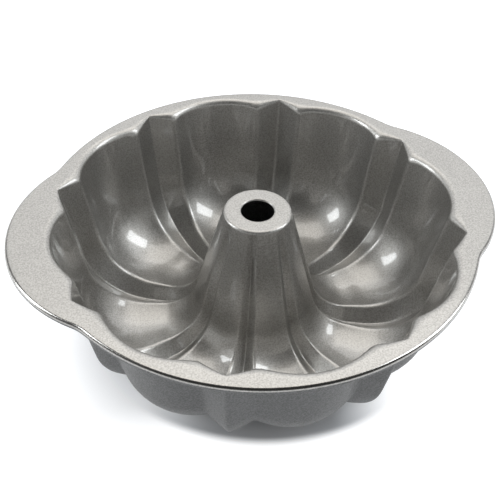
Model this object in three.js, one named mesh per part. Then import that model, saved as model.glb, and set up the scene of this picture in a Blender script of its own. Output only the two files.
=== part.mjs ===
// Fluted tube pan: a deep ring mould of coated sheet steel, with a flat rim, two ears and a centre tube.
// Millimetres, +Z up. The origin is on the table below the pan's middle, and +X runs along the ears.
import * as THREE from 'three';

const { degToRad, lerp } = THREE.MathUtils;

// Sheet and wire
const sheet = 0.9;
const wireDiameter = 1.8;
const wireClearance = 0.35;

// Rim: a round flange with two ears, its edge rolled over the wire. The flat is measured from the outside
// to the edges where lobes and ridges meet, and the ears reach out past the round part.
const rimDiameter = 256;
const rimFlat = 15.3;
const earReach = 15.7;
const earRadius = 80.2;
const earBlend = 30;
const curlTurn = 270;
const rimBend = 1.6;

// Bowl, measured along the edges where lobes and ridges meet
const depth = 80.5;
const wallDraft = 9.3;
const floorCorner = 35;
const footCorner = 23;
const leastFloor = 2;

// Flutes: pointed ridges with round lobes between them, pressed outwards by these depths
const fluteCount = 8;
const ridgeAngle = 15;
const ridgeLand = 1.6;
const ridgeDepth = 7.5;
const ridgeFootDepth = 2.6;
const lobeWallDepth = 6.5;
const lobeFloorDepth = 4;
const lobeFootDepth = 0.8;

// Centre tube: a cone with a pierced flat top, its skirt lapped inside the collar of the bowl
const tubeTopDiameter = 39.6;
const tubeTaper = 15.8;
const tubeHole = 19.3;
const tubeBend = 1.2;
const lapLength = 6;
const lapClearance = 0.3;
const collarLength = 8;
const joggleLength = 2.5;

// Steps of the faceted surfaces
const lobeSteps = 6;
const curlSteps = 6;
const wireSides = 8;
const bendSteps = 2;
const wallSteps = 2;
const floorCornerSteps = 5;
const footCornerSteps = 3;
const tubeSteps = 2;

// Sizes, heights and angles that follow from the sizes above
const throatDiameter = rimDiameter - 2 * rimFlat;
const earSpan = rimDiameter + 2 * earReach;
const floorLevel = Math.max(ridgeDepth, lobeFloorDepth) + sheet;
const rimLevel = floorLevel + depth;
const curlRadius = wireDiameter / 2 + wireClearance + sheet;
const ridgeHalf = degToRad(ridgeAngle) / 2;
const pitch = (2 * Math.PI) / fluteCount;
const wallAim = degToRad(wallDraft);
const floorAim = Math.PI / 2;
const tubeAim = Math.PI - degToRad(tubeTaper);

// The two corners of the floor, limited together to what the trough between wall and tube has room for
const wallFoot = throatDiameter / 2 - depth * Math.tan(wallAim);
const tubeFoot = tubeTopDiameter / 2 - depth * Math.tan(tubeAim);
const cornerWidth = floorCorner * Math.tan((floorAim - wallAim) / 2);
const footWidth = footCorner * Math.tan((tubeAim - floorAim) / 2);
const cornerFit = Math.min(1, (wallFoot - tubeFoot - leastFloor) / (cornerWidth + footWidth));
const floorRadius = floorCorner * cornerFit;
const footRadius = footCorner * cornerFit;

// Stations around the pan: the two edges and the two fold lines of each ridge, then the lobe beside it.
function stationsAround() {
  const stations = [];
  for (let flute = 0; flute < fluteCount; flute += 1) {
    const axis = (flute + 0.5) * pitch;
    for (const side of [-1, 1]) {
      const edge = { axis, offset: side * ridgeHalf, ridge: 0, lobe: 0 };
      const fold = { axis, offset: side * ridgeHalf / 3, ridge: 1, lobe: 0, side };
      stations.push(...(side < 0 ? [edge, fold] : [fold, edge]));
    }
    for (let step = 1; step < lobeSteps; step += 1) {
      const across = (2 * step) / lobeSteps - 1;
      const offset = ridgeHalf + ((pitch - 2 * ridgeHalf) * step) / lobeSteps;
      stations.push({ axis, offset, ridge: 0, lobe: 1 - across * across });
    }
  }
  return stations;
}

const stations = stationsAround();

// A ring whose closed section is placed at every station around the pan.
function ringGeometry(section) {
  const positions = [];
  const triangles = [];
  const rows = section.length;
  stations.forEach((station, column) => {
    const next = (column + 1) % stations.length;
    section.forEach((point, row) => {
      positions.push(...point.at(station).toArray());
      const above = (row + 1) % rows;
      const [a, b] = [column * rows + row, column * rows + above];
      const [c, d] = [next * rows + above, next * rows + row];
      triangles.push(a, c, b, a, d, c);
    });
  });
  const geometry = new THREE.BufferGeometry();
  geometry.setAttribute('position', new THREE.Float32BufferAttribute(positions, 3));
  geometry.setIndex(triangles);
  geometry.computeVertexNormals();
  return geometry;
}

// Plan outline of the rim in one direction: the round part, an ear or the hollow blend between them.
function rimOutline(angle) {
  const ray = new THREE.Vector2(Math.cos(angle), Math.sin(angle));
  const folded = new THREE.Vector2(Math.abs(ray.x), Math.abs(ray.y));
  const rimRadius = rimDiameter / 2;
  const ear = new THREE.Vector2(earSpan / 2 - earRadius, 0);
  const reach = rimRadius + earBlend;
  const blendX = (reach ** 2 - (earRadius + earBlend) ** 2 + ear.x ** 2) / (2 * ear.x);
  const blend = new THREE.Vector2(blendX, Math.sqrt(reach ** 2 - blendX ** 2));
  const blendToEar = ear.clone().lerp(blend, earRadius / (earRadius + earBlend));
  const point = folded.clone();
  const normal = folded.clone();
  if (folded.angle() < blendToEar.angle()) {
    const along = ear.dot(folded);
    point.multiplyScalar(along + Math.sqrt(earRadius ** 2 - ear.lengthSq() + along ** 2));
    normal.copy(point).sub(ear).divideScalar(earRadius);
  } else if (folded.angle() < blend.angle()) {
    const along = blend.dot(folded);
    point.multiplyScalar(along - Math.sqrt(earBlend ** 2 - blend.lengthSq() + along ** 2));
    normal.copy(blend).sub(point).divideScalar(earBlend);
  } else {
    point.multiplyScalar(rimRadius);
  }
  const quarter = new THREE.Vector2(Math.sign(ray.x), Math.sign(ray.y));
  return { point: point.multiply(quarter), normal: normal.multiply(quarter) };
}

// A point of the rolled edge: its distance inside the rim's outline, and its height.
function rimPoint(inset, height) {
  return {
    at(station) {
      const { point, normal } = rimOutline(station.axis + station.offset);
      return new THREE.Vector3(point.x - inset * normal.x, point.y - inset * normal.y, height);
    },
  };
}

// Points around the rolled edge, from its inner side over the outside to the top.
function curlPoints(radius) {
  const points = [];
  for (let step = 0; step <= curlSteps; step += 1) {
    const turn = Math.PI / 2 - degToRad(curlTurn) * (1 - step / curlSteps);
    const inset = curlRadius - radius * Math.cos(turn);
    points.push(rimPoint(inset, rimLevel - curlRadius + radius * Math.sin(turn)));
  }
  return points;
}

// A spot on the pan's profile, at radius r and height z of the food side. aim turns from outwards (0)
// over down (90 degrees) to the axis (180) with the sheet's outer side, and lean is the same angle for
// the direction that the flutes are pressed in. under is the depth into or past the sheet.
function profilePoint({ r, z, aim, lean = aim, ridge, lobe }, under = 0) {
  return {
    at(station) {
      const press = ridge * station.ridge + lobe * station.lobe;
      const radius = r + press * Math.cos(lean) + under * Math.cos(aim);
      const height = z - press * Math.sin(lean) - under * Math.sin(aim);
      const fold = station.side ? station.side * (ridgeLand / 2 / radius) : station.offset;
      const angle = station.axis + lerp(station.offset, fold, ridge / ridgeDepth);
      return new THREE.Vector3(radius * Math.cos(angle), radius * Math.sin(angle), height);
    },
  };
}

// Radius at height z that keeps the given distance from the straight flank through a corner.
function radiusBeside(corner, aim, distance, z) {
  return corner.x + (distance + (z - corner.y) * Math.sin(aim)) / Math.cos(aim);
}

// Spots round a bend from one aim to another; a bend over an outside edge has a negative radius.
function bendSpots(centre, radius, fromAim, toAim, steps, extras) {
  const spots = [];
  for (let step = 0; step <= steps; step += 1) {
    const share = step / steps;
    const aim = lerp(fromAim, toAim, share);
    const r = centre.x + radius * Math.cos(aim);
    spots.push({ r, z: centre.y - radius * Math.sin(aim), aim, ...extras(share) });
  }
  return spots;
}

// Spots along a straight stretch between two spots, without its ends.
function straightSpots(from, to, steps) {
  const spots = [];
  for (let step = 1; step < steps; step += 1) {
    spots.push(spotBetween(from, to, step / steps));
  }
  return spots;
}

function spotBetween(from, to, share) {
  const mix = (key) => lerp(from[key], to[key], share);
  const lean = lerp(from.lean ?? from.aim, to.lean ?? to.aim, share);
  return { r: mix('r'), z: mix('z'), aim: mix('aim'), lean, ridge: mix('ridge'), lobe: mix('lobe') };
}

// Profile of the bowl, from the bend at the rim down the wall and over the floor to the tube's foot
const throat = new THREE.Vector2(throatDiameter / 2, rimLevel);
const rimBendRadius = rimBend + sheet;
const rimBendZ = rimLevel - rimBendRadius;
const rimBendCentre = new THREE.Vector2(radiusBeside(throat, wallAim, rimBendRadius, rimBendZ), rimBendZ);
const wallTop = bendSpots(rimBendCentre, -rimBendRadius, floorAim, wallAim, bendSteps, () => ({
  lean: 0,
  ridge: ridgeDepth,
  lobe: lobeWallDepth,
}));

const cornerZ = floorLevel + floorRadius;
const cornerCentre = new THREE.Vector2(radiusBeside(throat, wallAim, -floorRadius, cornerZ), cornerZ);
const corner = bendSpots(cornerCentre, floorRadius, wallAim, floorAim, floorCornerSteps, (share) => ({
  ridge: ridgeDepth,
  lobe: lerp(lobeWallDepth, lobeFloorDepth, share),
}));

const tubeTop = new THREE.Vector2(tubeTopDiameter / 2, rimLevel);
const footZ = floorLevel + footRadius;
const footCentre = new THREE.Vector2(radiusBeside(tubeTop, tubeAim, -footRadius, footZ), footZ);
const foot = bendSpots(footCentre, footRadius, floorAim, tubeAim, footCornerSteps, (share) => ({
  ridge: lerp(ridgeDepth, ridgeFootDepth, share),
  lobe: lerp(lobeFloorDepth, lobeFootDepth, share),
}));

// Profile of the cone above the foot, and of the flat top around its hole
const tubeBendRadius = tubeBend + sheet;
const tubeBendZ = rimLevel - tubeBendRadius;
const tubeBendCentre = new THREE.Vector2(radiusBeside(tubeTop, tubeAim, tubeBendRadius, tubeBendZ), tubeBendZ);
const plain = { ridge: 0, lobe: 0 };
const tubeShoulder = bendSpots(tubeBendCentre, -tubeBendRadius, tubeAim, floorAim, bendSteps, () => plain);
const holeEdge = { r: tubeHole / 2, z: rimLevel, aim: floorAim, ...plain };

// A spot on the cone's flank, at a length above the foot
function flankSpot(length) {
  const [low, high] = [foot.at(-1), tubeShoulder[0]];
  return spotBetween(low, high, length / Math.hypot(high.r - low.r, high.z - low.z));
}

// The bowl's sheet: the food side from the rolled edge to the collar, then the outer side back.
function bowlSection() {
  const spots = [
    ...wallTop,
    ...straightSpots(wallTop.at(-1), corner[0], wallSteps),
    ...corner,
    ...foot,
    flankSpot(collarLength),
  ];
  return [
    ...curlPoints(curlRadius),
    ...spots.map((spot) => profilePoint(spot)),
    ...spots.reverse().map((spot) => profilePoint(spot, sheet)),
    ...curlPoints(curlRadius - sheet).reverse(),
  ];
}

// The tube's sheet: the food side up to the hole, the inner side down, and the skirt inside the collar.
function tubeSection() {
  const seam = flankSpot(collarLength + lapClearance);
  const joggle = flankSpot(collarLength + lapClearance + joggleLength);
  const skirtEnd = flankSpot(collarLength - lapLength);
  const upper = [...straightSpots(joggle, tubeShoulder[0], tubeSteps), ...tubeShoulder, holeEdge];
  const skirtDepth = sheet + lapClearance;
  return [
    profilePoint(seam),
    profilePoint(joggle),
    ...upper.map((spot) => profilePoint(spot)),
    ...upper.reverse().map((spot) => profilePoint(spot, sheet)),
    profilePoint(joggle, sheet),
    profilePoint(seam, skirtDepth + sheet),
    profilePoint(skirtEnd, skirtDepth + sheet),
    profilePoint(skirtEnd, skirtDepth),
    profilePoint(seam, skirtDepth),
  ];
}

// The wire runs along the middle of the rolled edge.
function wireSection() {
  const points = [];
  for (let side = 0; side < wireSides; side += 1) {
    const turn = (-2 * Math.PI * side) / wireSides;
    const inset = curlRadius - (wireDiameter / 2) * Math.cos(turn);
    points.push(rimPoint(inset, rimLevel - curlRadius + (wireDiameter / 2) * Math.sin(turn)));
  }
  return points.reverse();
}

function addRing(group, name, section, look) {
  const mesh = new THREE.Mesh(ringGeometry(section), new THREE.MeshStandardMaterial(look));
  mesh.name = name;
  group.add(mesh);
}

const coatedSteel = { color: 0x8d8b87, roughness: 0.32, metalness: 0.9 };
const bareWire = { color: 0x9a9a98, roughness: 0.45, metalness: 1 };

const pan = new THREE.Group();
addRing(pan, 'fluted_bowl', bowlSection(), coatedSteel);
addRing(pan, 'centre_tube', tubeSection(), coatedSteel);
addRing(pan, 'rim_wire', wireSection(), bareWire);

export default pan;
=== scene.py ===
from math import atan2, cos, exp, hypot, pi, radians, sin, sqrt

import bpy
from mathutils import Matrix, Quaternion, Vector


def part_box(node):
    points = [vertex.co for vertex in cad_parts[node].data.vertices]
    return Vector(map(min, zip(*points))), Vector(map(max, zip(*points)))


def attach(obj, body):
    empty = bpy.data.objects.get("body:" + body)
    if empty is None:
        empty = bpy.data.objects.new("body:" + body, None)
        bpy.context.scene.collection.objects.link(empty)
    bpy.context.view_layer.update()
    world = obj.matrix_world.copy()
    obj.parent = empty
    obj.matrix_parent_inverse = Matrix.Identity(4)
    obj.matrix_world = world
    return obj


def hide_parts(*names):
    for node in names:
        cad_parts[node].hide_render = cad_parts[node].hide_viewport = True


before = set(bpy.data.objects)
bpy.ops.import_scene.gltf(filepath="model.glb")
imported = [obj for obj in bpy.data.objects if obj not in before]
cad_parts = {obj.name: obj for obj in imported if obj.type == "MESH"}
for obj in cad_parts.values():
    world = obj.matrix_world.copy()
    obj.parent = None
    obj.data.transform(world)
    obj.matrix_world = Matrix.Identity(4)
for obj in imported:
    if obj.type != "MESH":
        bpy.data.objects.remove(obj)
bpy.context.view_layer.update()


# Fluted bowl: one sheet of aluminised steel, drawn to a ring-shaped trough with eight pointed ridges and
# eight round lobes, and coated with a clear baking coat. The edge of the flat rim, ears included, is
# rolled under over a wire. Lengths are in millimetres until a point goes into the mesh.
MM = 0.001
bowl_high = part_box("fluted_bowl")[1]
rim_level = bowl_high.z / MM
rim_radius = bowl_high.y / MM
ear_tip = bowl_high.x / MM
sheet = 0.9

ear_radius = 80.2
ear_blend = 30
curl_radius = 2.15
curl_turn = radians(270)
curl_steps = 16
painted_curl_rows = 12


def rim_outline(angle):
    """Plan point and outward direction of the rim's edge in the first quarter: ear, hollow blend, round."""
    ray = Vector((cos(angle), sin(angle)))
    ear = Vector((ear_tip - ear_radius, 0))
    reach = rim_radius + ear_blend
    blend_x = (reach**2 - (ear_radius + ear_blend) ** 2 + ear.x**2) / (2 * ear.x)
    blend = Vector((blend_x, sqrt(reach**2 - blend_x**2)))
    ear_end = ear.lerp(blend, ear_radius / (ear_radius + ear_blend))
    if angle < atan2(ear_end.y, ear_end.x):
        along = ear.dot(ray)
        point = ray * (along + sqrt(ear_radius**2 - ear.length_squared + along**2))
        return point, (point - ear).normalized()
    if angle < atan2(blend.y, blend.x):
        along = blend.dot(ray)
        point = ray * (along - sqrt(ear_blend**2 - blend.length_squared + along**2))
        return point, (blend - point).normalized()
    return ray * rim_radius, ray


def rolled_edge(angle):
    """Points round the rolled edge in one direction, from its inner end over the outside to the top."""
    edge, outwards = rim_outline(angle)
    points = []
    for step in range(curl_steps + 1):
        turn = pi / 2 - curl_turn * (1 - step / curl_steps)
        plan = edge - outwards * (curl_radius - curl_radius * cos(turn))
        points.append(Vector((plan.x, plan.y, rim_level - curl_radius + curl_radius * sin(turn))))
    return points


flute_pitch = radians(45)
ridge_half = radians(7.5)
lobe_half = flute_pitch / 2 - ridge_half
ridge_depth = 7.5
ridge_foot_depth = 3.2
lobe_wall_depth = 6.5
lobe_floor_depth = 4
lobe_foot_depth = 0.8
fold_softness = 0.4
edge_softness = 2.2
least_edge_bend = 1.3
least_softness = 0.001


def from_ridge(angle):
    """Angle from the nearest ridge's fold."""
    return abs((angle / flute_pitch) % 1 - 0.5) * flute_pitch


def pressed(angle, spot):
    """Where the sheet lies in one direction, once the flutes are pressed out of the round profile.

    A spot is a radius, a height, the aim of the pressing and the depths of ridge and lobe there. The edge
    between ridge and lobe is rounded, and never bent tighter than the sheet allows.
    """
    radius, height, aim, ridge, lobe = spot
    aside = from_ridge(angle)
    fold = fold_softness / radius
    slope = (hypot(aside, fold) - fold) / (hypot(ridge_half, fold) - fold)
    across = (aside - flute_pitch / 2) / lobe_half
    groove = ridge * (1 - slope)
    hollow = lobe * (1 - across**2)
    turn = (ridge / ridge_half + 2 * lobe / lobe_half) / radius
    soft = max(edge_softness * (ridge / ridge_depth) ** 2, least_edge_bend * turn**2 / 2, least_softness)
    near = max(1 - abs(groove - hollow) / soft, 0)
    press = max(groove, hollow) + near**2 * soft / 4
    out = radius + press * cos(aim)
    return Vector((out * cos(angle), out * sin(angle), height - press * sin(aim)))


def beside(corner_radius, aim, distance, height):
    """Radius at a height that keeps a distance from the straight flank through a corner at the rim."""
    return corner_radius + (distance + (height - rim_level) * sin(aim)) / cos(aim)


def bend(centre, radius, start, stop, steps):
    """Radius, height, aim and share along a bend; the aim turns from outwards over down to the axis."""
    for step in range(steps + 1):
        aim = start + (stop - start) * step / steps
        yield centre[0] + radius * cos(aim), centre[1] - radius * sin(aim), aim, step / steps


def spots_between(first, last, shares):
    """Spots on the straight line between two others."""
    return [tuple(a + (b - a) * share for a, b in zip(first, last)) for share in shares]


down = pi / 2
rim_flat = 15.3
throat_radius = rim_radius - rim_flat
bowl_depth = 80.44
floor_level = rim_level - bowl_depth
wall_draft = radians(9.3)
tube_top_radius = 19.8
tube_taper = radians(15.8)
tube_aim = pi - tube_taper

floor_corner = 35
corner_steps = 20
corner_height = floor_level + floor_corner
corner_centre = (beside(throat_radius, wall_draft, -floor_corner, corner_height), corner_height)
corner = []
for r, z, aim, share in bend(corner_centre, floor_corner, wall_draft, down, corner_steps):
    lobe = lobe_wall_depth + (lobe_floor_depth - lobe_wall_depth) * share
    corner.append((r, z, aim, ridge_depth, lobe))

foot_corner = 23
foot_steps = 14
foot_height = floor_level + foot_corner
foot_centre = (beside(tube_top_radius, tube_aim, -foot_corner, foot_height), foot_height)
foot = []
for r, z, aim, share in bend(foot_centre, foot_corner, down, tube_aim, foot_steps):
    ridge = ridge_depth + (ridge_foot_depth - ridge_depth) * share
    lobe = lobe_floor_depth + (lobe_foot_depth - lobe_floor_depth) * share
    foot.append((r, z, aim, ridge, lobe))

top_bend = 2.1
top_steps = 7
top_height = rim_level - top_bend
top_centre = (beside(tube_top_radius, tube_aim, top_bend, top_height), top_height)
shoulder = [(r, z, aim, 0, 0) for r, z, aim, _ in bend(top_centre, -top_bend, tube_aim, down, top_steps)]
flank_length = hypot(shoulder[0][0] - foot[-1][0], shoulder[0][1] - foot[-1][1])
ridge_fade = 4


def flank(length):
    """A spot on the tube's flank, where the ridges run up and fade out just below the shoulder."""
    share = length / flank_length
    r, z, aim, _, lobe = spots_between(foot[-1], shoulder[0], [share])[0]
    return r, z, aim, ridge_foot_depth * (1 - share**ridge_fade), lobe


# The row of points beside a sharp bend lies this far from it
crease_guard = 0.5
collar_length = 8
floor_shares = (0.33, 0.67)
collar_lengths = (0.25 * collar_length, 0.6 * collar_length, collar_length - crease_guard, collar_length)
trough = corner + spots_between(corner[-1], foot[0], floor_shares) + foot
trough += [flank(length) for length in collar_lengths]

ridge_bend = 1.2
lobe_bend = 4
edge_bend = 6
edge_bend_reach = radians(2.4)
mouth_steps = 9
wall_shares = (0.012, 0.1, 0.22, 0.36, 0.5, 0.64, 0.78, 0.9)


def mouth(angle):
    """The bend from flat rim to wall: tight in a ridge's fold, softer in a lobe, widest between them."""
    aside = from_ridge(angle)
    if aside < ridge_half:
        radius = ridge_bend + (edge_bend - ridge_bend) * aside / ridge_half
    else:
        away = (aside - ridge_half) / edge_bend_reach
        radius = lobe_bend + (edge_bend - lobe_bend) * exp(-(away**2))
    height = rim_level - radius
    centre = (beside(throat_radius, wall_draft, radius, height), height)
    turns = bend(centre, -radius, down, wall_draft, mouth_steps)
    return [(r, z, 0, ridge_depth, lobe_wall_depth) for r, z, _, _ in turns]


def bowl_line(angle):
    """The bowl's food side in one direction: rolled edge, flat rim, wall, floor and collar."""
    edge = rolled_edge(angle)
    spots = mouth(angle)
    spots += spots_between(spots[-1], corner[0], wall_shares) + trough
    inside = [pressed(angle, spot) for spot in spots]
    flat = inside[0] - edge[-1]
    guard = flat.normalized() * crease_guard
    return edge + [edge[-1] + guard, edge[-1] + flat / 2, inside[0] - guard] + inside


# Directions of one quarter, in degrees, closer together at the fold of each ridge and at its two edges
half_pitch = 22.5
half_flute = [0, 0.3, 0.65, 1.1, 1.8, 2.9, 4.2, 5.4, 6.2, 6.75, 7.15, 7.5, 7.85, 8.25, 8.8, 9.6, 10.7, 12.2]
half_flute += [14, 16, 18.1, 20.3]
quarter = []
for ridge_axis in (half_pitch, 3 * half_pitch):
    quarter += [ridge_axis - half_pitch] + [ridge_axis - away for away in reversed(half_flute)]
    quarter += [ridge_axis + away for away in half_flute[1:]]
quarter = [radians(direction) for direction in quarter + [4 * half_pitch]]

merge_reach = 0.02
crease_angle = radians(50)


def drawn_sheet(name, line, painted_rows=0, rolled_rows=0):
    """A blank for one quarter, drawn to the given lines, mirrored to the whole and given its thickness.

    Two attributes guide the finish: "outside" marks the outer side of the sheet and the part of the rolled
    edge that its paint covers, "rolled" the rest of the rolled edge.
    """
    lines = [line(direction) for direction in quarter]
    last_column = len(lines) - 1
    last_row = len(lines[0]) - 1
    bpy.ops.object.select_all(action="DESELECT")
    bpy.ops.mesh.primitive_grid_add(x_subdivisions=last_column, y_subdivisions=last_row, size=2)
    piece = bpy.context.object
    piece.name = piece.data.name = name
    for mark in ("outside", "rolled"):
        piece.data.attributes.new(mark, "FLOAT", "POINT")
    marks = piece.data.attributes
    for vertex in piece.data.vertices:
        column = round((vertex.co.x + 1) / 2 * last_column)
        row = round((vertex.co.y + 1) / 2 * last_row)
        vertex.co = lines[column][row] * MM
        marks["outside"].data[vertex.index].value = row < painted_rows
        marks["rolled"].data[vertex.index].value = painted_rows <= row < rolled_rows
    mirror = piece.modifiers.new("four quarters", "MIRROR")
    mirror.use_axis = (True, True, False)
    mirror.merge_threshold = merge_reach * MM
    bpy.ops.object.modifier_apply(modifier=mirror.name)
    food_side = len(piece.data.vertices)
    wall = piece.modifiers.new("sheet", "SOLIDIFY")
    wall.thickness = sheet * MM
    wall.offset = -1
    wall.use_even_offset = True
    bpy.ops.object.modifier_apply(modifier=wall.name)
    for mark in piece.data.attributes["outside"].data[food_side:]:
        mark.value = 1
    bpy.ops.object.shade_smooth_by_angle(angle=crease_angle)
    return piece


bowl = drawn_sheet("fluted_bowl_sheet", bowl_line, painted_curl_rows, curl_steps)


class Shade:
    """A socket of a shader tree. Sums and products of sockets and numbers add Math nodes."""

    def __init__(self, tree, socket=None):
        self.tree = tree
        self.socket = socket

    def node(self, kind, settings, sockets, output=0):
        made = self.tree.nodes.new("ShaderNode" + kind)
        for name, value in settings.items():
            setattr(made, name, value)
        for name, value in sockets.items():
            if isinstance(value, Shade):
                self.tree.links.new(value.socket, made.inputs[name])
            else:
                made.inputs[name].default_value = value
        return Shade(self.tree, made.outputs[output] if made.outputs else None)

    def math(self, operation, first, second):
        return self.node("Math", {"operation": operation}, {0: first, 1: second})

    def measure(self, operation, first, second):
        """A number from two vectors."""
        return self.node("VectorMath", {"operation": operation}, {0: first, 1: second}, "Value")

    def mix(self, factor, first, second):
        """A colour between two: a Mix node has its colours on sockets 6 and 7 and on output 2."""
        return self.node("Mix", {"data_type": "RGBA"}, {"Factor": factor, 6: first, 7: second}, 2)

    def spread(self, limits, **settings):
        """This value, from 0 at the first limit to 1 at the second."""
        sockets = {"Value": self, "From Min": limits[0], "From Max": limits[1], "To Min": 0, "To Max": 1}
        return self.node("MapRange", settings, sockets)

    def fade_in(self, limits):
        """The same with a smooth start and end."""
        return self.spread(limits, interpolation_type="SMOOTHSTEP")

    def __add__(self, other):
        return self.math("ADD", self, other)

    def __sub__(self, other):
        return self.math("SUBTRACT", self, other)

    def __rsub__(self, other):
        return self.math("SUBTRACT", other, self)

    def __mul__(self, other):
        return self.math("MULTIPLY", self, other)

    __radd__ = __add__
    __rmul__ = __mul__


def new_finish(name):
    finish = bpy.data.materials.new(name)
    finish.use_nodes = True
    finish.node_tree.nodes.clear()
    return finish, Shade(finish.node_tree)


# Coated steel: warm grey metal with a fine speckled grain under a glossy clear coat on the food side. The
# outer side has a matt grey paint, which ends on the rolled edge: the rest of that edge is burnished by
# the rolling.
steel_dark = (0.276, 0.27, 0.257, 1)
steel_light = (0.423, 0.414, 0.395, 1)
outer_dark = (0.141, 0.14, 0.138, 1)
outer_light = (0.282, 0.28, 0.276, 1)
speckle_grain = {"Scale": 1100, "Detail": 2, "Roughness": 0.6}
mottle_grain = {"Scale": 45, "Detail": 3, "Roughness": 0.55}
mottle_share = 0.12
grain_limits = (0.36, 0.64)
steel_rough = 0.38
speckle_rough = 0.16
outer_rough = 0.1
edge_burnish = 0.28
peel_strength = 0.25
peel_depth = 0.05
paint_gloss = 0.15
inner_coat = 0.9
outer_coat = 0.08
coat_rough = 0.05
coat_ior = 1.63

coated_steel, shade = new_finish("coated_steel")
place = shade.node("TexCoord", {}, {}, "Object")
outside = shade.node("Attribute", {"attribute_name": "outside"}, {}, "Fac")
rolled = shade.node("Attribute", {"attribute_name": "rolled"}, {}, "Fac")
speckle = shade.node("TexNoise", {}, {"Vector": place, **speckle_grain})
mottle = shade.node("TexNoise", {}, {"Vector": place, **mottle_grain})
grain = ((1 - mottle_share) * speckle + mottle_share * mottle).spread(grain_limits)
inner_colour = shade.mix(grain, steel_dark, steel_light)
outer_colour = shade.mix(grain, outer_dark, outer_light)
peel = shade.node("Bump", {}, {"Height": speckle, "Strength": peel_strength, "Distance": peel_depth * MM})
steel = shade.node(
    "BsdfPrincipled",
    {},
    {
        "Base Color": shade.mix(outside, inner_colour, outer_colour),
        "Metallic": 1 - outside,
        "Roughness": steel_rough + speckle_rough * speckle + outer_rough * outside - edge_burnish * rolled,
        "Specular IOR Level": paint_gloss,
        "Coat Weight": inner_coat - (inner_coat - outer_coat) * outside,
        "Coat Roughness": coat_rough,
        "Coat IOR": coat_ior,
        "Normal": peel,
    },
)
shade.node("OutputMaterial", {}, {"Surface": steel})

bowl.data.materials.append(coated_steel)
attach(bowl, "root")
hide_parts("fluted_bowl")


# Centre tube: a cone of the same coated sheet with a flat pierced top, level with the rim. Its skirt is
# joggled in by one sheet and sits inside the bowl's collar, so the joint is flush on the food side.
lap_length = 6
lap_clearance = 0.4
lap_guard = 1
seam_gap = 0.04
step_guard = 1.3
flank_steps = 14
top_ring = 4
hole_radius = 9.65
hole_roll = 1.15
hole_turn = radians(80)
hole_steps = 5


def round_spot(radius, height, angle):
    """A point of a round form in one direction."""
    return Vector((radius * cos(angle), radius * sin(angle), height))


def tube_line(angle):
    """The tube's food side in one direction: skirt, step at the seam, flank, shoulder, top, hole."""
    seam = collar_length + seam_gap
    under = round_spot(cos(tube_aim), -sin(tube_aim), angle) * (sheet + lap_clearance)
    skirt = (collar_length - lap_length, collar_length - lap_guard, seam)
    line = [pressed(angle, flank(length)) + under for length in skirt]
    step_end = seam + step_guard
    step_length = (flank_length - step_end) / flank_steps
    lengths = [seam, step_end] + [step_end + step_length * step for step in range(1, flank_steps)]
    lengths.append(flank_length - crease_guard)
    line += [pressed(angle, flank(length)) for length in lengths]
    line += [pressed(angle, spot) for spot in shoulder]
    hole_edge = hole_radius + hole_roll
    for radius in (shoulder[-1][0] - crease_guard, hole_radius + top_ring, hole_edge + crease_guard):
        line.append(round_spot(radius, rim_level, angle))
    for step in range(hole_steps + 1):
        turn = hole_turn * step / hole_steps
        height = rim_level - hole_roll * (1 - cos(turn))
        line.append(round_spot(hole_edge - hole_roll * sin(turn), height, angle))
    return line


tube = drawn_sheet("centre_tube_sheet", tube_line)
tube.data.materials.append(coated_steel)
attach(tube, "root")
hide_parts("centre_tube")


# Rim wire: a ring of bare drawn steel wire that stiffens the rim. The sheet's edge is rolled round it,
# so it only shows from below, through the slot that the rolled edge leaves.
wire_radius = 0.9
wire_segments = 240
wire_sides = 12
bpy.ops.object.select_all(action="DESELECT")
bpy.ops.mesh.primitive_torus_add(
    major_segments=wire_segments,
    minor_segments=wire_sides,
    major_radius=rim_radius * MM,
    minor_radius=wire_radius * MM,
)
wire = bpy.context.object
wire.name = wire.data.name = "rim_wire_ring"
for vertex in wire.data.vertices:
    on_ring = Vector((vertex.co.x, vertex.co.y))
    edge, outwards = rim_outline(atan2(abs(on_ring.y), abs(on_ring.x)))
    plan = edge - outwards * (curl_radius - (on_ring.length / MM - rim_radius))
    x_sign = 1 if on_ring.x >= 0 else -1
    y_sign = 1 if on_ring.y >= 0 else -1
    height = rim_level - curl_radius + vertex.co.z / MM
    vertex.co = Vector((plan.x * x_sign, plan.y * y_sign, height)) * MM
bpy.ops.object.shade_smooth()

wire_dark = (0.4, 0.4, 0.39, 1)
wire_light = (0.6, 0.6, 0.58, 1)
wire_grain = {"Scale": 700, "Detail": 3, "Roughness": 0.6}
wire_rough = 0.3
wire_grain_rough = 0.25
bare_wire, shade = new_finish("bare_wire")
place = shade.node("TexCoord", {}, {}, "Object")
drawn = shade.node("TexNoise", {}, {"Vector": place, **wire_grain})
bare = shade.node(
    "BsdfPrincipled",
    {},
    {
        "Base Color": shade.mix(drawn, wire_dark, wire_light),
        "Metallic": 1,
        "Roughness": wire_rough + wire_grain_rough * drawn,
    },
)
shade.node("OutputMaterial", {}, {"Surface": bare})

wire.data.materials.append(bare_wire)
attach(wire, "root")
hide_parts("rim_wire")


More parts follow.
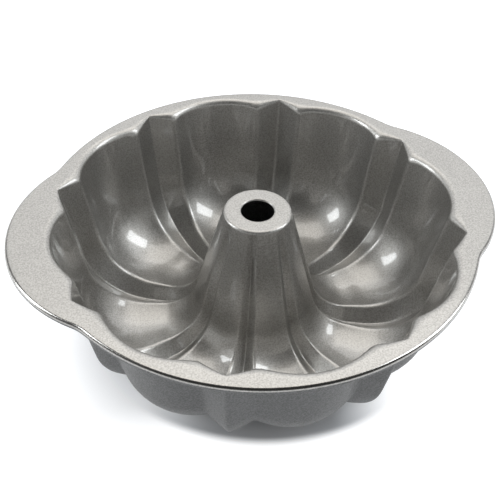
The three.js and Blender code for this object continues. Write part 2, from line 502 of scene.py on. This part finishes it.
# Studio: a pale floor, a large warm soft box above the pan, a wide one behind it, two upright cool ones at
# its sides and a dim room with a white horizon, seen from the photograph's place. The floor glows white to
# the camera and in mirror images, but its glow is dimmed in a painted shadow beside and in front of the pan
# and cut off under it, so the shadow there is partly painted and partly cast by the lamps.
white = (1, 1, 1, 1)
floor_size = 8
floor_tone = (0.475, 0.498, 0.53, 1)
glow_strength = 0.93
# Painted shadow: the floor's glow keeps only this share beside and in front of the pan, and none under it
painted_shadow_glow = 0.1
painted_shade_under_pan = (0.075, 0.095)
side_middle = (-0.015, 0, 0)
side_painted_shadow = (0.05, 0.13)
front_middle = (0.011, 0.024, 0)
front_painted_shadow = (0.121, 0.1285)
front_reach = (0.05, 0.085)
right_reach = (0.02, 0.07)
bpy.ops.object.select_all(action="DESELECT")
bpy.ops.mesh.primitive_plane_add(size=floor_size)
floor = bpy.context.object
floor.name = "floor"
white_floor, shade = new_finish("white_floor")
seen = shade.node("LightPath", {}, {}, "Is Camera Ray")
glossy = shade.node("LightPath", {}, {}, "Is Glossy Ray")
through = shade.node("LightPath", {}, {}, "Is Transmission Ray")
place = shade.node("TexCoord", {}, {}, "Object")
# Painted shadow on the floor: no glow under the pan, less glow in round shapes beside it and in front of it
beneath = shade.node("VectorMath", {"operation": "LENGTH"}, {0: place}, "Value").fade_in(painted_shade_under_pan)
side_open = shade.measure("DISTANCE", place, side_middle).fade_in(side_painted_shadow)
front_open = shade.measure("DISTANCE", place, front_middle).fade_in(front_painted_shadow)
forwards = shade.measure("DOT_PRODUCT", place, (0, -1, 0)).fade_in(front_reach)
rightwards = shade.measure("DOT_PRODUCT", place, (1, 0, 0)).fade_in(right_reach)
in_front = forwards * (1 - rightwards)
open_floor = side_open + (front_open - side_open) * in_front
floor_glow = glow_strength * beneath * (painted_shadow_glow + (1 - painted_shadow_glow) * open_floor)
paper = shade.node("BsdfDiffuse", {}, {"Color": floor_tone})
glow = shade.node("Emission", {}, {"Color": white, "Strength": floor_glow * (seen + glossy + through)})
both = shade.node("AddShader", {}, {0: paper, 1: glow})
shade.node("OutputMaterial", {}, {"Surface": both})
floor.data.materials.append(white_floor)

light_aim = Vector((0, 0, 0.05))
light_distance = 1
box_middle = 0.5


def soft_light(name, side, height, size, brightness, edge, colour):
    """A soft box that faces the pan, dimmer towards its edge.

    Side and height are angles in degrees, a brightness of 1 shows as white, and edge is the share that
    is dimmed.
    """
    side = radians(side)
    height = radians(height)
    away = Vector((sin(side) * cos(height), -cos(side) * cos(height), sin(height)))
    bpy.ops.object.light_add(type="AREA", location=light_aim + away * light_distance)
    light = bpy.context.object
    light.name = name
    light.rotation_mode = "QUATERNION"
    light.rotation_quaternion = away.to_track_quat("Z", "Y")
    light.data.shape = "RECTANGLE"
    light.data.size, light.data.size_y = size
    light.data.energy = brightness * pi * size[0] * size[1]
    light.data.color = colour
    light.data.use_nodes = True
    light.data.node_tree.nodes.clear()
    shade = Shade(light.data.node_tree)
    on_box = shade.node("NewGeometry", {}, {}, "Parametric")
    middle = (box_middle, box_middle, 0)
    off_middle = shade.node("VectorMath", {"operation": "SUBTRACT"}, {0: on_box, 1: middle})
    off_middle = shade.node("VectorMath", {"operation": "ABSOLUTE"}, {0: off_middle})
    across = shade.node("SeparateXYZ", {}, {0: off_middle}, "X")
    along = shade.node("SeparateXYZ", {}, {0: off_middle}, "Y")
    farther = shade.math("MAXIMUM", across, along)
    cloth = 1 - farther.fade_in((box_middle - edge / 2, box_middle))
    lamp = shade.node("Emission", {}, {"Color": white, "Strength": cloth})
    shade.node("OutputLight", {}, {"Surface": lamp})


warm = (1, 0.968, 0.92)
faint_cool = (0.985, 0.99, 1)
cool = (0.95, 0.98, 1)
soft_light("above", side=170, height=73, size=(1.25, 0.95), brightness=1.98, edge=0.45, colour=warm)
soft_light("behind", side=160, height=42, size=(2.6, 0.85), brightness=1.18, edge=0.65, colour=faint_cool)
soft_light("right_side", side=78, height=40, size=(0.34, 0.8), brightness=7.2, edge=0.15, colour=cool)
soft_light("left_side", side=256, height=31, size=(0.34, 0.62), brightness=7.6, edge=0.15, colour=cool)

world = bpy.data.worlds.new("room")
world.use_nodes = True
world.node_tree.nodes.clear()
shade = Shade(world.node_tree)
room_dim = 0.05
horizon = (0.42, 0.1)
horizon_bright = 0.97
room_behind = (-0.4, 0.4)
behind_bright = 0.25
direction = shade.node("TexCoord", {}, {}, "Generated")
low_down = shade.measure("DOT_PRODUCT", direction, (0, 0, 1)).fade_in(horizon)
behind = shade.measure("DOT_PRODUCT", direction, (0, 1, 0)).fade_in(room_behind)
room_tone = room_dim + horizon_bright * low_down + behind_bright * behind
room = shade.node("Background", {}, {"Color": white, "Strength": room_tone})
shade.node("OutputWorld", {}, {"Surface": room})
bpy.context.scene.world = world

photo_pixels = 500
lens_pixels = 753.5
sensor_width = 36
nearest_seen = 0.01
azimuth = radians(-15.93)
elevation = radians(43.33)
roll = radians(1.64)
distance = 414.4
target = Vector((-13.02, -31.76, rim_level))
back = Vector((sin(azimuth) * cos(elevation), -cos(azimuth) * cos(elevation), sin(elevation)))
bpy.ops.object.camera_add(location=(target + back * distance) * MM)
camera = bpy.context.object
camera.rotation_mode = "QUATERNION"
camera.rotation_quaternion = (-back).to_track_quat("-Z", "Y") @ Quaternion((0, 0, 1), roll)
camera.data.sensor_width = sensor_width
camera.data.lens = lens_pixels / photo_pixels * sensor_width
camera.data.clip_start = nearest_seen
bpy.context.scene.camera = camera
bpy.context.scene.view_settings.view_transform = "Standard"
